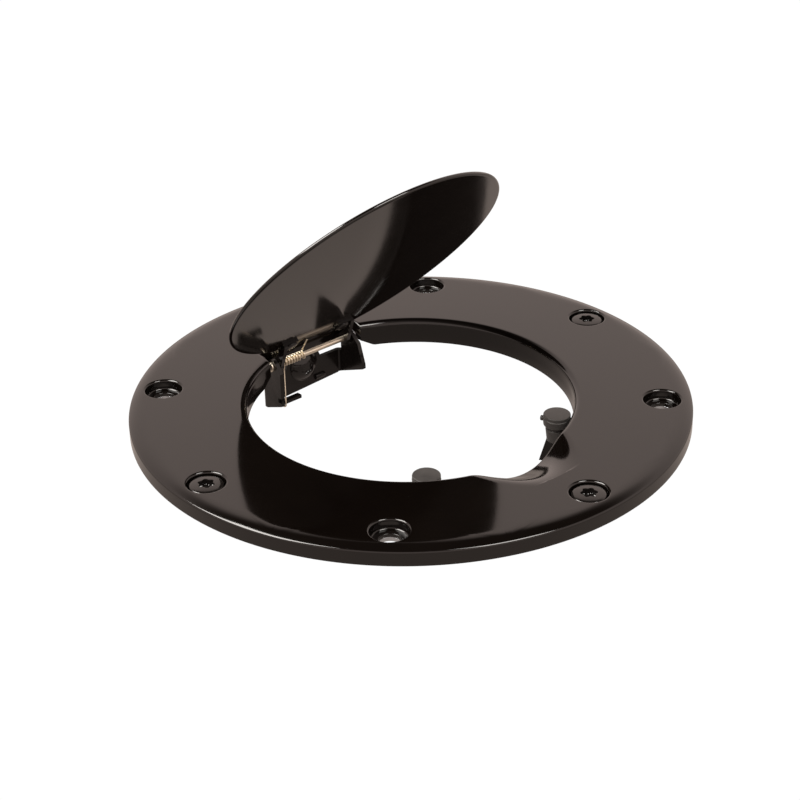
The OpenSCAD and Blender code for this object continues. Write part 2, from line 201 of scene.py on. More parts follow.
class StageSizes(bpy.types.PropertyGroup):
    """Camera and light of the studio."""

    azimuth: degrees("Azimuth", "Camera's turn round the hatch", -39.86)
    elevation: degrees("Elevation", "Camera's height above the horizon", 29.07)
    roll: degrees("Roll", "Camera's turn about its own axis", -1.35)
    distance: length("Distance", "Camera's distance from what it looks at", 648.6 * MM)
    lens: FloatProperty(name="Lens", description="Focal length in millimetres", default=86.67)
    floor_drop: length("Floor drop", "Air between the hatch and the floor", 0.2 * MM)
    sky: brightness("Sky", "Brightness of the pale backdrop all round", 1.05)
    ceiling: brightness("Ceiling", "Brightness straight overhead", 0.04)
    floor: brightness("Floor", "Brightness of the floor in reflections", 0.54)
    boxes: brightness("Softboxes", "Brightness of the softboxes", 14)


# ---------------------------------------------------------------- grids of points


def sheet_of(points):
    """A grid of points, shape rows by columns by 3, whose columns close on themselves: its points as one
    list, and the quads between neighbours."""
    rows, columns = points.shape[:2]
    i, j = np.meshgrid(np.arange(rows - 1), np.arange(columns), indexing="ij")
    i, j = i.ravel(), j.ravel()
    right = (j + 1) % columns
    below = (i + 1) * columns
    quads = np.stack([i * columns + j, i * columns + right, below + right, below + j], 1)
    return points.reshape(-1, 3), quads


def circle(steps):
    """Evenly spaced angles of one full turn."""
    return np.linspace(0, TURN, steps, endpoint=False)


def turned(rows, angle):
    """Carries rows of (radius, height) round the Z axis: x = r cos a, y = r sin a, z = h. Each of the two
    is one number, or one for every angle."""
    radius, height = (np.array([part + 0 * angle for part in parts]) for parts in zip(*rows))
    return sheet_of(np.stack([radius * np.cos(angle), radius * np.sin(angle), height], 2))


def rounded(outline, radius, steps=5):
    """Rounds each corner of an open outline: a corner becomes the curve (1-t)^2 a + 2t(1-t) b + t^2 c,
    where b is the corner and a and c lie on its two sides, up to radius away from it."""
    points = np.array(outline, float)
    t = np.linspace(0, 1, steps + 1)[:, None]
    made = [points[:1]]
    for before, corner, after in zip(points[:-2], points[1:-1], points[2:]):
        back, on = before - corner, after - corner
        reach = min(radius, np.linalg.norm(back) / HALF_SIDE, np.linalg.norm(on) / HALF_SIDE)
        a = corner + back / np.linalg.norm(back) * reach
        c = corner + on / np.linalg.norm(on) * reach
        made.append((1 - t) ** 2 * a + 2 * t * (1 - t) * corner + t**2 * c)
    return np.concatenate([*made, points[-1:]])


WIRE_SIDES = 16


def swept(path, radius):
    """Carries a circle along a path that is never parallel to X: the circle's axes are the cross product
    of the tangent with X, and of the tangent with that. Both ends are closed by half spheres."""
    tangent = np.gradient(path, axis=0)
    tangent /= np.linalg.norm(tangent, axis=1)[:, None]
    bow = np.linspace(0, math.pi / 2, 5)[:-1]
    reach = np.concatenate([-np.cos(bow), np.zeros(len(path)), np.cos(bow)[::-1]]) * radius
    width = np.concatenate([np.sin(bow), np.ones(len(path)), np.sin(bow)[::-1]]) * radius
    take = np.concatenate([0 * bow, np.arange(len(path)), 0 * bow + len(path) - 1]).astype(int)
    middle = path[take] + tangent[take] * reach[:, None]
    across = np.cross(tangent[take], [1.0, 0, 0])
    across /= np.linalg.norm(across, axis=1)[:, None]
    other = np.cross(tangent[take], across)
    angle = circle(WIRE_SIDES)
    round_it = across[:, None] * np.cos(angle)[:, None] + other[:, None] * np.sin(angle)[:, None]
    return sheet_of(middle[:, None] + round_it * width[:, None, None])


def smooth_path(points, steps=8):
    """A curve through given points: between two of them it is the cubic whose slopes at its ends are
    half the step from the point before to the point after (Catmull-Rom)."""
    p = np.array(points, float)
    p = np.concatenate([2 * p[:1] - p[1:2], p, 2 * p[-1:] - p[-2:-1]])
    t = np.linspace(0, 1, steps, endpoint=False)[:, None]
    a, b, c, d = (p[i : len(p) - 3 + i, None] for i in range(4))
    bend, twist = 2 * a - 5 * b + 4 * c - d, 3 * b - a - 3 * c + d
    curve = 0.5 * (2 * b + (c - a) * t + bend * t**2 + twist * t**3)
    return np.concatenate([curve.reshape(-1, 3), p[-2:-1]])


def placed(sheet, matrix):
    """A sheet moved by a 4 by 4 matrix."""
    points, quads = sheet
    m = np.array(matrix)
    return points @ m[:3, :3].T + m[:3, 3], quads


def opened(sheet):
    """Turns a sheet of the closed lid about the pin, by the angle at which the lid stands open."""
    swing = Matrix.Rotation(-OPEN_ANGLE, 4, "X")
    return placed(sheet, Matrix.Translation(PIN) @ swing @ Matrix.Translation(-Vector(PIN)))


def soft_minimum(a, b, reach):
    """The lower of two heights, rounded where they cross: min(a, b) - (reach - |a - b|)^2 / (4 reach)."""
    near = np.clip(reach - np.abs(a - b), 0, None)
    return np.minimum(a, b) - near**2 / (4 * reach)


def make_piece(name, sheets, body, slot, node, finish=None):
    """Joins sheets into one closed piece that stands for a CAD node: shared points are merged and faces
    turned outwards. It has its slot's finish unless another slot's is named."""
    starts = np.cumsum([0] + [len(points) for points, _ in sheets[:-1]])
    mesh = bpy.data.meshes.new(name)
    mesh.from_pydata(
        np.concatenate([points for points, _ in sheets]).tolist(), [],
        np.concatenate([quads + start for (_, quads), start in zip(sheets, starts)]).tolist(),
    )
    work = bmesh.new()
    work.from_mesh(mesh)
    bmesh.ops.remove_doubles(work, verts=work.verts, dist=WELD)
    bmesh.ops.dissolve_degenerate(work, edges=work.edges, dist=WELD)
    bmesh.ops.recalc_face_normals(work, faces=work.faces)
    work.to_mesh(mesh)
    work.free()
    finish_piece(name, mesh, body, node, finish or slot)


def finish_piece(name, mesh, body, node, finish):
    """Shades a mesh, gives it its material, parents it to its body and hides the CAD node that it stands for."""
    mesh.shade_smooth()
    mesh.set_sharp_from_angle(angle=SHARP)
    mesh.materials.clear()
    mesh.materials.append(finish_of(finish))
    piece = bpy.data.objects.new(name, mesh)
    bpy.context.scene.collection.objects.link(piece)
    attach(piece, body)
    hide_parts(node)
    return piece


def softened(name, edge, body, slot, node):
    """A merged copy of a CAD node, its flat faces whole again, with a rounding on every sharp edge."""
    mesh = frame["nodes"][node].data.copy()
    work = bmesh.new()
    work.from_mesh(mesh)
    bmesh.ops.remove_doubles(work, verts=work.verts, dist=WELD)
    bmesh.ops.dissolve_limit(work, angle_limit=math.radians(1), verts=work.verts, edges=work.edges)
    work.to_mesh(mesh)
    work.free()
    if "custom_normal" in mesh.attributes:
        mesh.attributes.remove(mesh.attributes["custom_normal"])
    piece = finish_piece(name, mesh, body, node, slot)
    bevel = piece.modifiers.new("rounded edges", "BEVEL")
    bevel.width = edge
    bevel.segments = 2
    bevel.limit_method = "ANGLE"
    bevel.angle_limit = SHARP
    bevel.harden_normals = True


# ---------------------------------------------------------------- materials


def add_node(tree, kind, settings=None, **links):
    """Adds a node with its attributes and input values, and links an input from each named socket."""
    node = tree.nodes.new(kind)
    for key, value in (settings or {}).items():
        if key in node.inputs:
            node.inputs[key].default_value = value
        else:
            setattr(node, key, value)
    for key, source in links.items():
        tree.links.new(source, node.inputs[key.replace("_", " ")])
    return node


def new_material(name):
    """An empty node material: its tree, and the Object coordinates that its patterns read."""
    material = bpy.data.materials.new(name)
    material.use_nodes = True
    material.node_tree.nodes.clear()
    where = add_node(material.node_tree, "ShaderNodeTexCoord").outputs["Object"]
    return material, material.node_tree, where


def noise(tree, where, size, detail=3):
    """Noise whose lumps are about size millimetres across: its scale is one lump per size."""
    keys = {"Scale": 1 / (size * MM), "Detail": detail, "Roughness": 0.5}
    return add_node(tree, "ShaderNodeTexNoise", keys, Vector=where).outputs["Fac"]


def spread(tree, value, low, high):
    """Maps noise from its usual 0.3 to 0.7 onto low to high."""
    keys = {"From Min": 0.3, "From Max": 0.7, "To Min": low, "To Max": high}
    return add_node(tree, "ShaderNodeMapRange", keys, Value=value).outputs["Result"]


def two_tone(tree, value, dark, light):
    """A colour that goes from dark to light as value goes from 0.3 to 0.7."""
    ramp = add_node(tree, "ShaderNodeValToRGB", {}, Fac=value)
    ramp.color_ramp.elements[0].position = 0.3
    ramp.color_ramp.elements[1].position = 0.7
    ramp.color_ramp.elements[0].color = dark
    ramp.color_ramp.elements[1].color = light
    return ramp.outputs["Color"]


def shades(rgb, dark, light):
    """A colour made darker and lighter by two factors, as RGBA."""
    return [(*(min(1.0, c * factor) for c in rgb), 1.0) for factor in (dark, light)]


def bump(tree, lumps, height, **under):
    """A bump of that height in millimetres, on top of the bump under it, if one is given."""
    keys = {"Distance": height * MM}
    return add_node(tree, "ShaderNodeBump", keys, Height=lumps, **under).outputs["Normal"]


def new_finish(name, colour_name, shader, tones, roughness, cloud, grain, height, dents=None, along=None):
    """A material: a cloud of noise carries its tones and its roughness, and a grain of that height its
    bump, over dents. Cloud, grain and dents are sizes in millimetres, each with its detail, and the
    dents' height comes third. Along stretches all of it by three factors."""
    material, tree, where = new_material(name)
    if along:
        where = add_node(tree, "ShaderNodeMapping", {"Scale": along}, Vector=where).outputs["Vector"]
    cloud = noise(tree, where, *cloud)
    under = {"Normal": bump(tree, noise(tree, where, *dents[:2]), dents[2])} if dents else {}
    rgb = getattr(bpy.context.scene.hatch_finishes, colour_name)
    shader = add_node(
        tree, "ShaderNodeBsdfPrincipled", shader,
        Base_Color=two_tone(tree, cloud, *shades(rgb, *tones)),
        Roughness=spread(tree, cloud, *roughness),
        Normal=bump(tree, noise(tree, where, *grain), height, **under),
    )
    add_node(tree, "ShaderNodeOutputMaterial", {}, Surface=shader.outputs["BSDF"])
    return material


ENAMEL, METAL = {"IOR": 1.5}, {"Metallic": 1.0}
FINISHES = {
    # A deep brown-black with a faint orange peel and a mirror that is a little soft
    "gloss_black_coat": (
        "stoved_gloss_black_enamel", "coat", ENAMEL, (0.85, 1.15), (0.08, 0.11), (22,), (1.6, 2), 0.002,
    ),
    # Dipped primer: satin, slightly grainy and dented, thinner and paler in places
    "black_bracket": (
        "dipped_black_pressed_steel", "bracket", {**ENAMEL, "Specular IOR Level": 0.36}, (0.8, 1.3),
        (0.16, 0.24), (5,), (0.35,), 0.0012, (7, 1, 0.25),
    ),
    # Dark metal with a satin gleam and fine pits
    "black_screw": (
        "black_oxide_steel", "oxide", ENAMEL, (0.8, 1.25), (0.09, 0.15), (0.3,), (0.3,), 0.001,
    ),
    # Cool, softly mottled metal
    "zinc_steel": (
        "bright_zinc_plated_steel", "zinc", METAL, (0.8, 1.1), (0.24, 0.4), (2.5, 4), (0.25,), 0.003,
    ),
    # Warm bright metal with faint lines along X
    "pin_steel": (
        "drawn_steel_rod", "pin", METAL, (0.82, 1.1), (0.28, 0.42), (0.12, 2), (0.12, 2), 0.002,
        None, (0.05, 1, 1),
    ),
    # The same, with its lines round the pin
    "spring_steel": (
        "drawn_spring_wire", "wire", METAL, (0.82, 1.1), (0.28, 0.42), (0.12, 2), (0.12, 2), 0.002,
        None, (1, 0.4, 0.4),
    ),
    # Matt, a little dusty, with the fine grain of its mould
    "rest_rubber": (
        "moulded_black_rubber", "rubber", {"IOR": 1.52, "Sheen Weight": 0.15, "Sheen Roughness": 0.5},
        (0.8, 1.3), (0.5, 0.62), (3,), (0.3,), 0.01,
    ),
}


def finish_of(slot):
    """The material of a slot, which is made when it is first asked for."""
    name = FINISHES[slot][0]
    return bpy.data.materials.get(name) or new_finish(*FINISHES[slot])


# ---------------------------------------------------------------- face ring

SECTORS = 8
SECTOR_STEPS = 48      # columns of one eighth of the ring
SIDE_STEPS = 16        # points along each radial side of an eighth
BAND = 72 * MM         # where the inner band meets the eighths round the screw places
TONGUE_SPREAD = math.radians(6.8)      # half the angle that the backing ring's tongue takes up
TONGUE_SEAT = 60.8 * MM                # where its seat starts
FLARE = 5 * MM                         # width of the collar's slanted run-out beside the notch
COLLAR_MIDDLE = 56.7 * MM              # radius of the middle of the collar's wall
TOP = RING_HIGH.z
STEEP = 0.98                           # past this share of its radius the scoop's side is straight,
STEEPNESS = 3                          # and climbs this much faster than it goes out
SCOOP_LIP = 0.45                       # the lip's rounding inside the scoop, as a share of the lip's
COLLAR_EDGE, RIM_EDGE = 0.3 * MM, 0.25 * MM      # roundings of the lower edges
OPEN_FILLET, SCREW_FILLET = 1.6 * MM, 0.6 * MM   # roundings between a recess's wall and floor
HOLE_EDGE = 0.25 * MM
# Shares of the way from a recess's mouth to the edge of its eighth, closest at both ends
WAY_OUT = (1, 0.99, 0.92, 0.75, 0.5, 0.28, 0.12, 0.04, 0.008, 0)


def notch_corners(ring):
    """The two angles from the hinge's direction at which the notch's side wall starts and ends."""
    on_wall = math.asin(ring.notch_half / ring.wall)
    at_end = math.atan2(ring.notch_half, ring.notch_end)
    return on_wall, at_end


def ring_angles(ring):
    """Angles of the ring's columns: even steps, the notch's corners and the tongue's sides."""
    even = circle(SECTORS * SECTOR_STEPS) + math.pi / SECTORS
    hinge = math.pi / 2
    corners = [hinge + side * a for a in (*notch_corners(ring), TONGUE_SPREAD) for side in (-1, 1)]
    angles = np.concatenate([even, corners]) % TURN
    step = TURN / (SECTORS * SECTOR_STEPS)
    keep = [not any(0 < abs(a - c) < 0.2 * step for c in corners) for a in angles]
    return np.unique(np.round(angles[keep], 9))


def from_hinge(angle):
    """How far an angle is from the hinge's direction, either way."""
    return np.abs((angle - math.pi / 2 + math.pi) % TURN - math.pi)


def opening_radius(ring, angle):
    """Radius of the opening: the wall's, or in the notch that of its end wall or a side, if nearer."""
    away = from_hinge(angle)
    inside = away < notch_corners(ring)[0] - 1e-9
    end = ring.notch_end / np.maximum(np.cos(away), 0.1)
    side = ring.notch_half / np.maximum(np.sin(away), 1e-6)
    return np.where(inside, np.maximum(ring.wall, np.minimum(end, side)), ring.wall)


def drop_of(distance, radius):
    """How far a quarter-round of that radius has dropped, at a distance from the wall that it ends in."""
    inside = np.clip(radius - distance, 0, radius)
    return radius - np.sqrt(radius**2 - inside**2)


def crown_drop(ring, radius):
    """How far the top has dropped at a radius: R - sqrt(R^2 - s^2), with s the way into the crown."""
    into = np.clip(radius - (RIM - ring.crown_width), 0, None)
    return ring.crown - np.sqrt(ring.crown**2 - into**2)


def crown_edge(ring):
    """The radius inside the crown at which the screw places end and the outer band starts."""
    return RIM - 1.2 * ring.shoulder


def top_height(ring, x, y):
    """Height of the ring's top: its flat with the lip's quarter-round, and the soft lower of that and the
    scoop, a round trough of radius R that climbs outwards: depth at the wall, plus (R - sqrt(R^2 - x^2))
    over the cosine of its slope, plus the distance from the wall times the slope's tangent."""
    distance = np.hypot(x, y) - ring.wall
    flat = TOP - drop_of(distance, ring.lip)
    radius = ring.scoop_radius
    across = np.clip(np.abs(x), 0, STEEP * radius)
    rise = radius - np.sqrt(radius**2 - across**2)
    rise = rise + STEEPNESS * np.clip(np.abs(x) - STEEP * radius, 0, None)
    climb = -(y + ring.wall) * math.tan(ring.scoop_slope)
    trough = TOP - ring.scoop_depth + rise / math.cos(ring.scoop_slope) + climb
    trough = np.where(y < 0, trough, TOP + 1)
    return soft_minimum(flat, trough - drop_of(distance, SCOOP_LIP * ring.lip), ring.scoop_blend)


def inner_band(ring, angle):
    """The ring from the band's circle over the lip and the scoop, down the wall, round the collar and
    along the underside to the pocket. Each row is a radius and a height as functions of the angle."""
    cos, sin = np.cos(angle), np.sin(angle)
    opening = opening_radius(ring, angle)
    bow = np.linspace(0, math.pi / 2, 12)
    lip_edge = opening + ring.lip
    flat = np.concatenate([[0, 0.02], np.linspace(0.06, 1, 24)])
    rows = [BAND + (lip_edge - BAND) * t for t in flat]
    rows += [opening + ring.lip * (1 - math.sin(a)) for a in bow[1:]]
    radii = np.array(rows)
    heights = top_height(ring, radii * cos, radii * sin)
    heights[0] = TOP
    low = -COLLAR_DROP * np.clip((np.abs(COLLAR_MIDDLE * cos) - ring.notch_half) / FLARE, 0, 1)
    low = np.where(sin > 0, low, -COLLAR_DROP)
    outer = np.maximum(ring.wall + ring.collar, opening + 0.05 * MM)
    away = from_hinge(angle)
    seat = np.where(away <= TONGUE_SPREAD + 1e-9, ring.pocket_depth, 0.0)
    edge, wall = COLLAR_EDGE, heights[-1]
    foot = np.minimum(low + edge, wall)
    tongue = TONGUE_SEAT / np.maximum(sin, 0.9)
    below = [
        *((opening, wall + (foot - wall) * share) for share in (0.1, 0.5)), (opening, foot),
        (opening + 0.3 * edge, low + 0.3 * edge), (opening + np.minimum(edge, outer - opening), low),
        (np.maximum(outer - edge, opening), low), (outer, np.minimum(low + edge, 0)), (outer, 0),
        (tongue, 0), (tongue, seat), (ring.pocket_inner, seat), (ring.pocket_inner, ring.pocket_depth),
    ]
    return turned([*zip(radii, heights), *below], angle)


def outer_band(ring, angle):
    """The ring from the crown's middle over the shoulder, down the rim and under to the pocket. Crown and
    shoulder are two arcs with a common tangent, at asin((w - r) / (R - r)) where they meet."""
    radius, edge = RIM, RIM_EDGE
    reach = ring.crown - ring.shoulder
    lean = math.asin((ring.crown_width - ring.shoulder) / reach)
    middle = TOP - ring.crown + reach * math.cos(lean)
    meet = radius - ring.crown_width + ring.crown * math.sin(lean)
    rows = [(r, TOP - crown_drop(ring, r)) for r in np.linspace(crown_edge(ring), meet, 5)[:-1]]
    bow = np.linspace(lean, math.pi / 2, 10)
    shoulder = ring.shoulder
    rows += [(radius - shoulder * (1 - math.sin(a)), middle + shoulder * math.cos(a)) for a in bow]
    rows += [(radius, middle - 0.1 * MM), (radius, edge + 0.1 * MM), (radius, edge)]
    rows += [(radius - 0.07 * MM, 0.07 * MM), (radius - edge, 0), (radius - edge - 0.1 * MM, 0)]
    rows += [(ring.pocket_outer, 0), (ring.pocket_outer, ring.pocket_depth)]
    return turned(rows, angle)


def eighth_outline(angle, inner, outer):
    """Outline of one eighth of the ring: along its inner arc, out, back along its outer arc, and in."""
    side = np.linspace(inner, outer, SIDE_STEPS + 1)[1:-1]
    a = np.concatenate([angle, np.full(len(side), angle[-1]), angle[::-1], np.full(len(side), angle[0])])
    r = np.concatenate([np.full(len(angle), inner), side, np.full(len(angle), outer), side[::-1]])
    return np.stack([r * np.cos(a), r * np.sin(a)], 1)


def screw_place(ring, angle, middle_angle, fillet):
    """One eighth of the ring with its recess: the top and the pocket's roof are straight blends from the
    hole's circle to the eighth's outline, and between them a profile of (radius, height) points goes
    down round the hole: mouth rounding, wall, floor, hole. The crown's drop is taken off the top, and
    less and less of it off the recess, down to its floor."""
    middle = PITCH_RADIUS * np.array([math.cos(middle_angle), math.sin(middle_angle)])
    top = eighth_outline(angle, BAND, crown_edge(ring))
    way = top - middle
    way /= np.linalg.norm(way, axis=1)[:, None]
    mouth = ring.recess + ring.mouth
    start = middle + way * mouth
    flat = start + (top - start) * np.array(WAY_OUT)[:, None, None]
    height = TOP - crown_drop(ring, np.linalg.norm(flat, axis=2))
    rows = [np.concatenate([flat, height[:, :, None]], 2)]
    floor = TOP - ring.recess_depth
    bow = np.linspace(0, math.pi / 2, 8)[1:]
    profile = [(mouth - ring.mouth * math.sin(a), TOP - ring.mouth * (1 - math.cos(a))) for a in bow]
    near = ring.hole + 2 * HOLE_EDGE
    wall = [(ring.recess, TOP - ring.mouth - 0.1 * MM), (ring.recess, floor), (near + 0.1 * MM, floor)]
    hole = [(near, floor), (ring.hole, floor), (ring.hole, ring.pocket_depth)]
    profile += rounded(wall, fillet, 7).tolist() + rounded(hole, HOLE_EDGE, 4).tolist()
    r, z = np.array(profile).T
    down = middle + way * r[:, None, None]
    share = np.clip((z[:, None] - floor) / ring.recess_depth, 0, 1)
    height = z[:, None] - share * crown_drop(ring, np.linalg.norm(down, axis=2))
    rows.append(np.concatenate([down, height[:, :, None]], 2))
    roof = eighth_outline(angle, ring.pocket_inner, ring.pocket_outer)
    hole = middle + way * ring.hole
    under = hole + (roof - hole) * np.linspace(0, 1, 6)[1:, None, None]
    rows.append(np.concatenate([under, np.full((*under.shape[:2], 1), ring.pocket_depth)], 2))
    return sheet_of(np.concatenate(rows))


class HATCH_OT_face_ring(bpy.types.Operator):
    """Builds the face ring: its bands, its eight screw places, the finger scoop and the hinge notch"""

    bl_idname = "hatch.face_ring"
    bl_label = "Face ring"

    def execute(self, context):
        ring = context.scene.hatch_ring
        angles = ring_angles(ring)
        sheets = [inner_band(ring, angles), outer_band(ring, angles)]
        for k in range(SECTORS):
            middle = k * TURN / SECTORS
            away = (angles - middle + math.pi) % TURN - math.pi
            mine = np.sort(away[np.abs(away) <= math.pi / SECTORS + 1e-6]) + middle
            fillet = OPEN_FILLET if k % 2 else SCREW_FILLET
            sheets.append(screw_place(ring, mine, middle, fillet))
        make_piece("face_ring_shell", sheets, "ring", "gloss_black_coat", "face_ring")
        return {"FINISHED"}


# ---------------------------------------------------------------- screws, nuts and the backing ring


SNUG = 0.02 * MM                       # air between a nut's bore and its screw
SCREW_TURN, BOLT_TURN = 0.37, 0.3      # turns of the sockets, in radians; the screws turn by 1 to 4 of theirs
SOCKET, LOBES = 2.45 * MM, 0.3 * MM    # a socket's mean radius, and how far its lobes reach in and out
# A head's depth of socket, height of its side below the sphere's cap, and rounding of its edge
SCREW_SHAPE = (2 * MM, 2.8 * MM, 1 * MM)
BOLT_SHAPE = (1.4 * MM, 0.3 * MM, 0.4 * MM)


def button_head(head, height, shank, reach, shape):
    """A button-head screw with a six-lobed socket, seated at z = 0. The socket's radius is its mean plus
    a cosine of six times the angle; outside it the top is a sphere's cap, h - R + sqrt(R^2 - r^2)."""
    depth, side, soft = shape
    angle = circle(72)
    lobes = SOCKET + LOBES * np.cos(6 * angle)
    dome = height - side
    sphere = (head**2 + dome**2) / (2 * dome)

    def cap(r):
        return height - sphere + np.sqrt(sphere**2 - r**2)

    floor = height - depth
    edge = 0.14 * MM
    crown = lobes + edge
    rows = [(0, floor), (0.5 * lobes, floor), (0.93 * lobes, floor), (lobes, floor + 0.15 * MM)]
    rows += [(lobes, cap(crown) - 2 * edge), (lobes, cap(crown) - edge)]
    rows += [(lobes + 0.3 * edge, cap(crown) - 0.3 * edge), (crown, cap(crown))]
    last = head - soft
    out = [crown + (last - crown) * t for t in np.linspace(0.08, 1, 10)]
    rows += [(r, cap(r)) for r in out]
    down = [(last, cap(last)), (head, cap(last) - 0.2 * MM), (head, 0.02 * MM)]
    tail = [(head - 0.1 * MM, 0), (shank, 0), (shank, -reach), (0, -reach)]
    return turned([*rows, *rounded(down, soft)[1:], *rounded(tail, 0.3 * MM, 3)], angle)


def round_the_ring(sheet, height):
    """Four copies of a sheet on the pitch circle at that height, each turned a bit further."""
    copies = []
    for k in range(4):
        a = k * math.pi / 2
        spot = Matrix.Translation((PITCH_RADIUS * math.cos(a), PITCH_RADIUS * math.sin(a), height))
        copies.append(placed(sheet, spot @ Matrix.Rotation(SCREW_TURN * (k + 1), 4, "Z")))
    return copies


class HATCH_OT_ring_fasteners(bpy.types.Operator):
    """Builds the four ring screws, their nuts and the backing ring"""

    bl_idname = "hatch.ring_fasteners"
    bl_label = "Ring fasteners and backing ring"

    def execute(self, context):
        ring, sizes = context.scene.hatch_ring, context.scene.hatch_fasteners
        seat = TOP - ring.recess_depth
        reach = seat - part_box("ring_screws")[0].z
        screw = button_head(sizes.screw_head, sizes.screw_height, sizes.screw_shank, reach, SCREW_SHAPE)
        screws = round_the_ring(screw, seat)
        make_piece("ring_screw_set", screws, "ring", "black_screw", "ring_screws")
        low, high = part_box("ring_nuts")
        radius = high.x - PITCH_RADIUS
        bore = sizes.screw_shank + SNUG
        half_way = (bore, (low.z + high.z) / 2)
        outline = [half_way, (bore, low.z), (radius, low.z), (radius, high.z), (bore, high.z), half_way]
        nut = turned(rounded(outline, 0.5 * MM), circle(64))
        make_piece("ring_nut_set", round_the_ring(nut, 0), "ring", "zinc_steel", "ring_nuts")
        softened("backing_ring_plate", 0.15 * MM, "ring", "zinc_steel", "backing_ring")
        return {"FINISHED"}


# ---------------------------------------------------------------- lid

STUD_X, STUD_Y = 11.7 * MM, 46.15 * MM     # the studs' places, with the lid closed
# A stud's head radius, head height, shank radius and depth of its head under the lid
STUD = (2.4 * MM, 0.7 * MM, 1.5 * MM, 1 * MM)
NEAR_FLAT = (0, 0.3, 0.6, 0.85, 0.97, 0.995)    # rings of the lid's flat faces, as shares of their radius


class HATCH_OT_lid(bpy.types.Operator):
    """Builds the lid's disc, its bracket and its studs, standing open"""

    bl_idname = "hatch.lid"
    bl_label = "Lid"

    def execute(self, context):
        lid = context.scene.hatch_lid
        top = TOP + lid.proud
        radius, thick = lid.radius, lid.thickness
        half = thick / 2
        bow = np.linspace(-math.pi / 2, math.pi / 2, 13)
        flat = radius - half
        rim = [(flat + half * math.cos(a), top - half + half * math.sin(a)) for a in bow]
        under = top - thick
        profile = [(flat * t, under) for t in NEAR_FLAT] + rim
        profile += [(flat * t, top) for t in NEAR_FLAT[::-1]]
        disc = placed(turned(profile, circle(192)), Matrix.Translation((0, lid.middle, 0)))
        make_piece("lid_disc", [opened(disc)], "lid", "gloss_black_coat", "lid")
        softened("lid_bracket_plate", 0.2 * MM, "lid", "black_bracket", "lid_bracket")
        head, height, shank, sink = STUD
        stud = turned(
            rounded([(0, under), (shank, under), (shank, under - sink), (head, under - sink),
                     (head, under - sink - 0.6 * height), (0.6 * head, under - sink - height),
                     (0, under - sink - height)], 0.2 * MM, 3), circle(40),
        )
        studs = [opened(placed(stud, Matrix.Translation((x, STUD_Y, 0)))) for x in (-STUD_X, STUD_X)]
        make_piece("lid_stud_pair", studs, "lid", "black_bracket", "lid_studs")
        return {"FINISHED"}


# ---------------------------------------------------------------- hinge


NUT_FLANGE, NUT_FLAT = 5.2 * MM, 4 * MM     # radius of the flange, and of the circle inside the hexagon
FLANGE_HEIGHT = 1.1 * MM
CONE_SLOPE = 0.58                           # tangent of the cone's 30 degrees


def flanged_nut(height, bore):
    """A hexagon nut on a round flange. The hexagon's radius is its half width over the cosine of the
    angle from the nearest flat, cut by a 30 degree cone at the top."""
    angle = circle(96)
    third = (angle + math.pi / 6) % (math.pi / 3) - math.pi / 6
    hexagon = NUT_FLAT / np.cos(third)
    cone = NUT_FLAT + (hexagon - NUT_FLAT) * 0.15
    foot = [(bore, 0.3 * MM), (bore + 0.3 * MM, 0), (NUT_FLANGE - 0.2 * MM, 0), (NUT_FLANGE, 0.2 * MM)]
    flange = [
        (NUT_FLANGE, FLANGE_HEIGHT - 0.35 * MM), (NUT_FLANGE - 0.25 * MM, FLANGE_HEIGHT - 0.1 * MM),
        (hexagon + 0.1 * MM, FLANGE_HEIGHT), (hexagon, FLANGE_HEIGHT + 0.15 * MM),
    ]
    top = [
        (hexagon, height - (hexagon - cone) * CONE_SLOPE - 0.1 * MM), (cone, height - 0.05 * MM),
        (NUT_FLAT - 0.3 * MM, height), (bore + 0.35 * MM, height), (bore, height - 0.35 * MM),
    ]
    return turned([*foot, *flange, *top, foot[0]], angle)


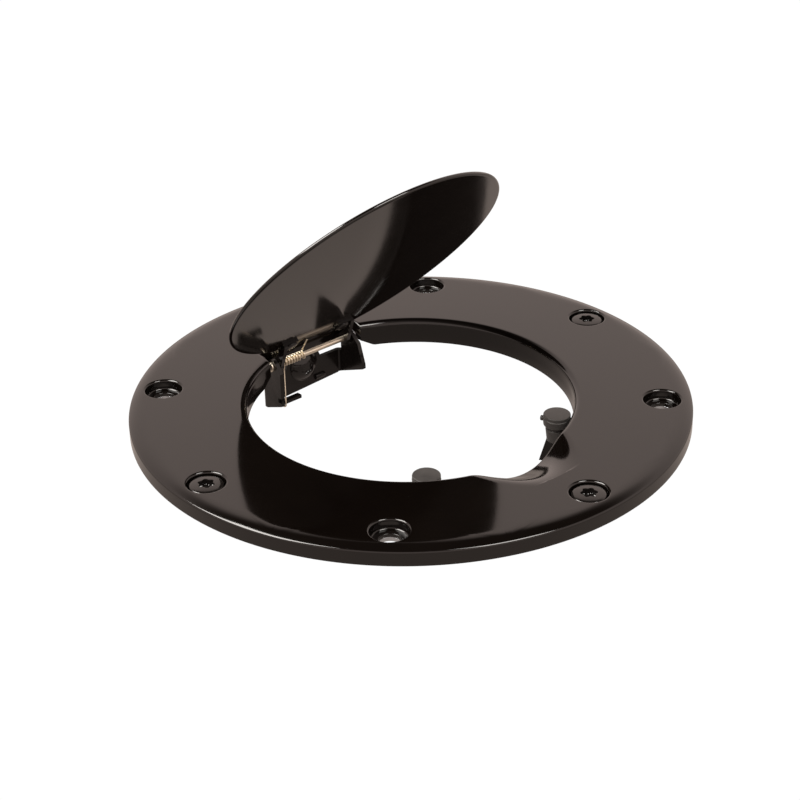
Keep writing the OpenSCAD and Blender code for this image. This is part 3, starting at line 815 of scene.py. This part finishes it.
class HATCH_OT_hinge(bpy.types.Operator):
    """Builds the hinge's fixed bracket, bolt, nut, pin and clip"""

    bl_idname = "hatch.hinge"
    bl_label = "Hinge"

    def execute(self, context):
        sizes = context.scene.hatch_fasteners
        softened("hinge_bracket_plate", 0.25 * MM, "ring", "black_bracket", "hinge_bracket")
        low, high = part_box("hinge_bolt")
        seat = low.y + sizes.bolt_height
        towards = Matrix.Translation((0, seat, (low.z + high.z) / 2))
        towards = towards @ Matrix.Rotation(math.pi / 2, 4, "X")
        head, height, shank = sizes.bolt_head, sizes.bolt_height, sizes.bolt_shank
        bolt = button_head(head, height, shank, high.y - seat, BOLT_SHAPE)
        bolt = placed(bolt, towards @ Matrix.Rotation(BOLT_TURN, 4, "Z"))
        make_piece("hinge_bolt_head", [bolt], "ring", "black_screw", "hinge_bolt")
        low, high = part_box("hinge_nut")
        middle = Matrix.Translation((0, low.y, (low.z + high.z) / 2))
        nut = flanged_nut(high.y - low.y, sizes.bolt_shank + SNUG)
        nut = placed(nut, middle @ Matrix.Rotation(-math.pi / 2, 4, "X"))
        make_piece("hinge_flange_nut", [nut], "ring", "zinc_steel", "hinge_nut")
        along = Matrix.Translation((0, PIN[1], PIN[2])) @ Matrix.Rotation(math.pi / 2, 4, "Y")
        low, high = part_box("hinge_pin")
        head, neck = (high.z - low.z) / 2, low.x + 1 * MM
        outline = [(0, low.x), (head, low.x), (head, neck)]
        outline += [(sizes.pin, neck), (sizes.pin, high.x), (0, high.x)]
        pin = placed(turned(rounded(outline, 0.35 * MM), circle(48)), along)
        make_piece("hinge_pin_rod", [pin], "ring", "pin_steel", "hinge_pin")
        low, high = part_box("pin_clip")
        outer, middle = (high.z - low.z) / 2, (low.x + high.x) / 2
        outline = [(sizes.pin, middle), (sizes.pin, low.x), (outer, low.x), (outer, high.x)]
        outline += [(sizes.pin, high.x), (sizes.pin, middle)]
        clip = placed(turned(rounded(outline, 0.2 * MM, 3), circle(48)), along)
        make_piece("pin_clip_ring", [clip], "ring", "pin_steel", "pin_clip", "zinc_steel")
        return {"FINISHED"}


# ---------------------------------------------------------------- spring

COIL_START = -13.6 * MM
COIL_LENGTH = 8.4 * MM
COIL_RADIUS = 1.42 * MM
HOOK_X, HOOK_Y, HOOK_Z = -15.9 * MM, 51.3 * MM, -12.3 * MM
LEG_LEAN = math.radians(9)              # angle between the pushing leg and the lid
# The hooked leg's points in millimetres, first from the hook's place and then from the coil's start
HOOK_POINTS = ((0, 1.6, -1.6), (0, 0.6, -1.5), (0, -1, -1), (0, -1.5, 0), (0.2, -1.2, 3))
LEG_POINTS = ((-0.2, -0.1, -3), (0, 0, -0.8), (0, 0, 0))


def helix(start, reach, first, turns):
    """Points of a helix round the pin: x grows evenly, y = R cos a and z = R sin a from the pin."""
    share = np.linspace(0, 1, turns * 32 + 1)
    a = first + share * turns * TURN
    y, z = PIN[1] + COIL_RADIUS * np.cos(a), PIN[2] + COIL_RADIUS * np.sin(a)
    return np.stack([start + reach * share, y, z], 1)


class HATCH_OT_spring(bpy.types.Operator):
    """Builds the torsion spring: coil and hooked leg on the ring, pushing leg on the lid"""

    bl_idname = "hatch.spring"
    bl_label = "Spring"

    def execute(self, context):
        sizes = context.scene.hatch_fasteners
        coil = helix(COIL_START, COIL_LENGTH, math.pi, sizes.turns)
        hook = np.array([HOOK_X, HOOK_Y, HOOK_Z]) + np.array(HOOK_POINTS) * MM
        leg = np.concatenate([hook, coil[0] + np.array(LEG_POINTS) * MM])
        path = np.concatenate([smooth_path(leg)[:-1], coil])
        make_piece("spring_coil", [swept(path, sizes.wire)], "ring", "spring_steel", "torsion_spring")
        pitch = 2 * sizes.wire + 0.1 * MM
        start = COIL_START + COIL_LENGTH + pitch
        away = OPEN_ANGLE + LEG_LEAN
        last = helix(start, pitch, -math.pi * 3 / 2 - away, 1)
        out = np.array([0, -math.cos(away), math.sin(away)])
        knee = last[-1] + np.array([0.1 * MM, 0, 0])
        straight = knee + out * np.linspace(2, 7, 6)[:, None] * MM
        pushing = swept(np.concatenate([last, straight]), sizes.wire)
        make_piece("spring_pushing_leg", [pushing], "lid", "spring_steel", "spring_lid_leg")
        return {"FINISHED"}


# ---------------------------------------------------------------- lid rests

RIVET_RADII = (69.5 * MM, 75.5 * MM)   # the rivets' distances from the ring's centre
RIVET_SIDE = 5.5 * MM                  # and how far they sit beside the arm
GROOVE = 0.7 * MM                      # height of the rest's head's underside
NECK, CONE, FOOT = 3.2 * MM, 3.8 * MM, 3.3 * MM     # radii under a rest's head, going down
NUB, NUB_REACH = 0.9 * MM, 1.9 * MM    # radius and length of the moulding nub on its side
# A rivet's profile in millimetres: shank, then the head under the arm's foot
RIVET = ((0, 1.5), (1.5, 1.5), (1.5, -1.5), (2.7, -1.5), (2.7, -1.9), (1.6, -2.5), (0, -2.5))


def rest_place(rests, side):
    """Moves a shape drawn at radius 0, pointing outwards along +X, to the left (-1) or right (1) rest."""
    mirror = Matrix.Scale(-1, 4, (0, 1, 0)) if side < 0 else Matrix.Identity(4)
    return Matrix.Rotation(-math.pi / 2 + side * rests.angle, 4, "Z") @ mirror


class HATCH_OT_rests(bpy.types.Operator):
    """Builds the two rubber rests, their arms and their rivets"""

    bl_idname = "hatch.rests"
    bl_label = "Lid rests"

    def execute(self, context):
        rests = context.scene.hatch_rests
        head = rests.head
        low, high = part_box("rest_left")
        crease = high.z - 1.1 * MM
        side = head - 0.1 * MM
        outline = [
            (0, high.z), (side, high.z), (side, crease), (head - 0.35 * MM, crease - 0.15 * MM),
            (head, crease - 0.4 * MM), (head - 0.2 * MM, GROOVE), (NECK, GROOVE), (NECK, -0.5 * MM),
            (CONE, -0.6 * MM), (FOOT, low.z), (0, low.z),
        ]
        body = turned(rounded(outline, 0.4 * MM), circle(64))
        nub = [(0, 0), (NUB, 0), (NUB, -NUB_REACH), (0, -NUB_REACH)]
        nub = turned(rounded(nub, 0.5 * MM), circle(24))
        nub_spot = Matrix.Translation((1 * MM - head, 0, 2.5 * MM)) @ Matrix.Rotation(math.pi / 2, 4, "Y")
        rivet = turned(rounded(np.array(RIVET) * MM, 0.25 * MM, 3), circle(36))
        for name, side in (("left", -1), ("right", 1)):
            spot = rest_place(rests, side)
            out = spot @ Matrix.Translation((rests.distance, 0, 0))
            rest = [placed(body, out), placed(nub, out @ nub_spot)]
            make_piece(f"rubber_rest_{name}", rest, "ring", "rest_rubber", f"rest_{name}")
            softened(f"rest_arm_plate_{name}", 0.2 * MM, "ring", "black_bracket", f"rest_arm_{name}")
            pair = [placed(rivet, spot @ Matrix.Translation((r, RIVET_SIDE, 0))) for r in RIVET_RADII]
            make_piece(f"arm_rivet_pair_{name}", pair, "ring", "zinc_steel", f"arm_rivets_{name}")
        return {"FINISHED"}


# ---------------------------------------------------------------- studio


# The floor in reflections glows, and its shade under the hatch is painted in as a weaker glow there.
PAINTED_SHADE = 0.65                                     # brightness of the floor's shaded part, as a share
PAINTED_SHADE_INNER, PAINTED_SHADE_OUTER = 60 * MM, 92 * MM      # where it starts to brighten, and where it is over
WHITE = 1.02                                     # radiance of the white paper that the camera sees
FLOOR_HALF, PAPER_RADIUS, MIRRORED_HALF = 3, 6, 1.2      # metres
BACKDROP_TOP, CEILING_START = math.radians(38), math.radians(54)
# Azimuth and elevation in degrees, distance, width and height in metres, and share of the brightness
SOFTBOXES = {
    "softbox_left": (-117, 50, 1.6, 1.2, 0.8, 1.2),
    "softbox_right": (6, 54, 1.6, 0.7, 0.6, 1),
}
TARGET = Vector((-5.4 * MM, -0.97 * MM, TOP))    # what the camera looks at
SENSOR_WIDTH = 36                                # millimetres


def direction(azimuth, elevation):
    """The way from the hatch to an azimuth and elevation: (sin a cos e, -cos a cos e, sin e)."""
    a, e = azimuth, elevation
    return Vector((math.sin(a) * math.cos(e), -math.cos(a) * math.cos(e), math.sin(e)))


def glow(tree, settings, **links):
    """A glowing surface and the output."""
    light = add_node(tree, "ShaderNodeEmission", settings, **links)
    add_node(tree, "ShaderNodeOutputMaterial", {}, Surface=light.outputs["Emission"])


def white_paper():
    """The plain white floor and surround that the camera sees."""
    material, tree, _ = new_material("white_paper")
    glow(tree, {"Color": (1, 1, 1, 1), "Strength": WHITE})
    return material


def stage_plane(name, half, height, material, seen_by):
    """A level square of the studio, seen only by the kinds of ray that are named."""
    corners = [(x * half, y * half, height) for x, y in ((-1, -1), (1, -1), (1, 1), (-1, 1))]
    mesh = bpy.data.meshes.new(name)
    mesh.from_pydata(corners, [], [(0, 1, 2, 3)])
    mesh.materials.append(material)
    stage_object(name, mesh, seen_by)


def stage_object(name, mesh, seen_by):
    """Adds a mesh to the studio and hides it from every kind of ray that isn't named."""
    thing = bpy.data.objects.new(name, mesh)
    bpy.context.scene.collection.objects.link(thing)
    for kind in ("camera", "diffuse", "glossy", "transmission", "volume_scatter", "shadow"):
        setattr(thing, f"visible_{kind}", kind in seen_by)


def floor_with_painted_shade(sizes):
    """The floor as the hatch mirrors it: a pale glow, with painted shade that makes it darker under the hatch."""
    material, tree, where = new_material("pale_floor_in_the_hatch_shade")
    away = add_node(tree, "ShaderNodeVectorMath", {"operation": "LENGTH"}, Vector=where).outputs["Value"]
    edges = {
        "From Min": PAINTED_SHADE_INNER, "From Max": PAINTED_SHADE_OUTER,
        "To Min": PAINTED_SHADE * sizes.floor, "To Max": sizes.floor,
    }
    # Painted shade: the glow is weaker near and under the hatch.
    pale = add_node(tree, "ShaderNodeMapRange", edges, Value=away).outputs["Result"]
    glow(tree, {"Color": linear("#ffebdf")}, Strength=pale)
    return material


def soft_sky(sizes):
    """Soft light from a pale backdrop all round, which fades into a dark ceiling overhead."""
    world = bpy.data.worlds.new("soft_sky")
    world.use_nodes = True
    tree = world.node_tree
    tree.nodes.clear()
    where = add_node(tree, "ShaderNodeTexCoord").outputs["Generated"]
    height = add_node(tree, "ShaderNodeSeparateXYZ", {}, Vector=where).outputs["Z"]
    fade = {
        "interpolation_type": "SMOOTHSTEP", "From Min": math.sin(BACKDROP_TOP),
        "From Max": math.sin(CEILING_START), "To Min": sizes.sky, "To Max": sizes.ceiling,
    }
    bright = add_node(tree, "ShaderNodeMapRange", fade, Value=height).outputs["Result"]
    sky = add_node(tree, "ShaderNodeBackground", {"Color": linear("#ffebe2")}, Strength=bright)
    add_node(tree, "ShaderNodeOutputWorld", {}, Surface=sky.outputs["Background"])
    return world


def softbox(name, azimuth, elevation, distance, width, height, radiance):
    """A softbox that looks at the hatch. Its power is radiance times area times pi."""
    light = bpy.data.lights.new(name, "AREA")
    light.shape = "RECTANGLE"
    light.size, light.size_y = width, height
    light.energy = radiance * width * height * math.pi
    light.color = linear("#fffaf4")[:3]
    lamp = bpy.data.objects.new(name, light)
    back = direction(math.radians(azimuth), math.radians(elevation))
    lamp.location = back * distance
    lamp.rotation_mode = "QUATERNION"
    lamp.rotation_quaternion = back.to_track_quat("Z", "Y")
    bpy.context.scene.collection.objects.link(lamp)


def aim_camera(scene, sizes):
    """Places the camera on a line through its target, and rolls it about that line."""
    back = direction(sizes.azimuth, sizes.elevation)
    camera = bpy.data.cameras.new("camera")
    camera.lens = sizes.lens
    camera.sensor_width = SENSOR_WIDTH
    camera.clip_start, camera.clip_end = 0.01, 50
    thing = bpy.data.objects.new("camera", camera)
    scene.collection.objects.link(thing)
    thing.rotation_mode = "QUATERNION"
    turn = back.to_track_quat("Z", "Y") @ Matrix.Rotation(sizes.roll, 4, "Z").to_quaternion()
    thing.rotation_quaternion = turn
    thing.location = TARGET + back * sizes.distance
    scene.camera = thing


class HATCH_OT_stage(bpy.types.Operator):
    """Sets up the pale floor, the white surround, the soft light and the camera"""

    bl_idname = "hatch.stage"
    bl_label = "Studio"

    def execute(self, context):
        scene, sizes = context.scene, context.scene.hatch_stage
        scene.view_settings.view_transform = "Standard"
        floor = CAD_LOW.z - sizes.floor_drop
        white = white_paper()
        stage_plane("floor", FLOOR_HALF, floor, white, ("camera",))
        dome = bmesh.new()
        bmesh.ops.create_icosphere(dome, subdivisions=3, radius=PAPER_RADIUS)
        mesh = bpy.data.meshes.new("surround")
        dome.to_mesh(mesh)
        dome.free()
        mesh.materials.append(white)
        stage_object("surround", mesh, ("camera",))
        # The floor in reflections glows, with painted shade under the hatch.
        mirrored, seen_by = floor_with_painted_shade(sizes), ("glossy", "diffuse")
        stage_plane("floor_in_reflections", MIRRORED_HALF, floor - 1 * MM, mirrored, seen_by)
        scene.world = soft_sky(sizes)
        for name, (*place, share) in SOFTBOXES.items():
            softbox(name, *place, share * sizes.boxes)
        aim_camera(scene, sizes)
        return {"FINISHED"}


# ---------------------------------------------------------------- panel and start


class HATCH_PT_panel(bpy.types.Panel):
    """Lists the hatch's operators"""

    bl_idname = "HATCH_PT_panel"
    bl_label = "Deck hatch"
    bl_space_type = "VIEW_3D"
    bl_region_type = "UI"
    bl_category = "Deck hatch"

    def draw(self, context):
        for operator in OPERATORS:
            self.layout.operator(operator.bl_idname)


GROUPS = {
    "hatch_ring": RingSizes,
    "hatch_lid": LidSizes,
    "hatch_fasteners": FastenerSizes,
    "hatch_rests": RestSizes,
    "hatch_finishes": Finishes,
    "hatch_stage": StageSizes,
}
OPERATORS = (
    HATCH_OT_face_ring,
    HATCH_OT_ring_fasteners,
    HATCH_OT_lid,
    HATCH_OT_hinge,
    HATCH_OT_spring,
    HATCH_OT_rests,
    HATCH_OT_stage,
)


def register():
    for name, group in GROUPS.items():
        bpy.utils.register_class(group)
        setattr(bpy.types.Scene, name, PointerProperty(type=group))
    for kind in (*OPERATORS, HATCH_PT_panel):
        bpy.utils.register_class(kind)


def unregister():
    for kind in (HATCH_PT_panel, *reversed(OPERATORS)):
        bpy.utils.unregister_class(kind)
    for name, group in GROUPS.items():
        delattr(bpy.types.Scene, name)
        bpy.utils.unregister_class(group)


def main():
    register()
    bpy.ops.hatch.face_ring()
    bpy.ops.hatch.ring_fasteners()
    bpy.ops.hatch.lid()
    bpy.ops.hatch.hinge()
    bpy.ops.hatch.spring()
    bpy.ops.hatch.rests()
    bpy.ops.hatch.stage()


if __name__ == "__main__":
    main()
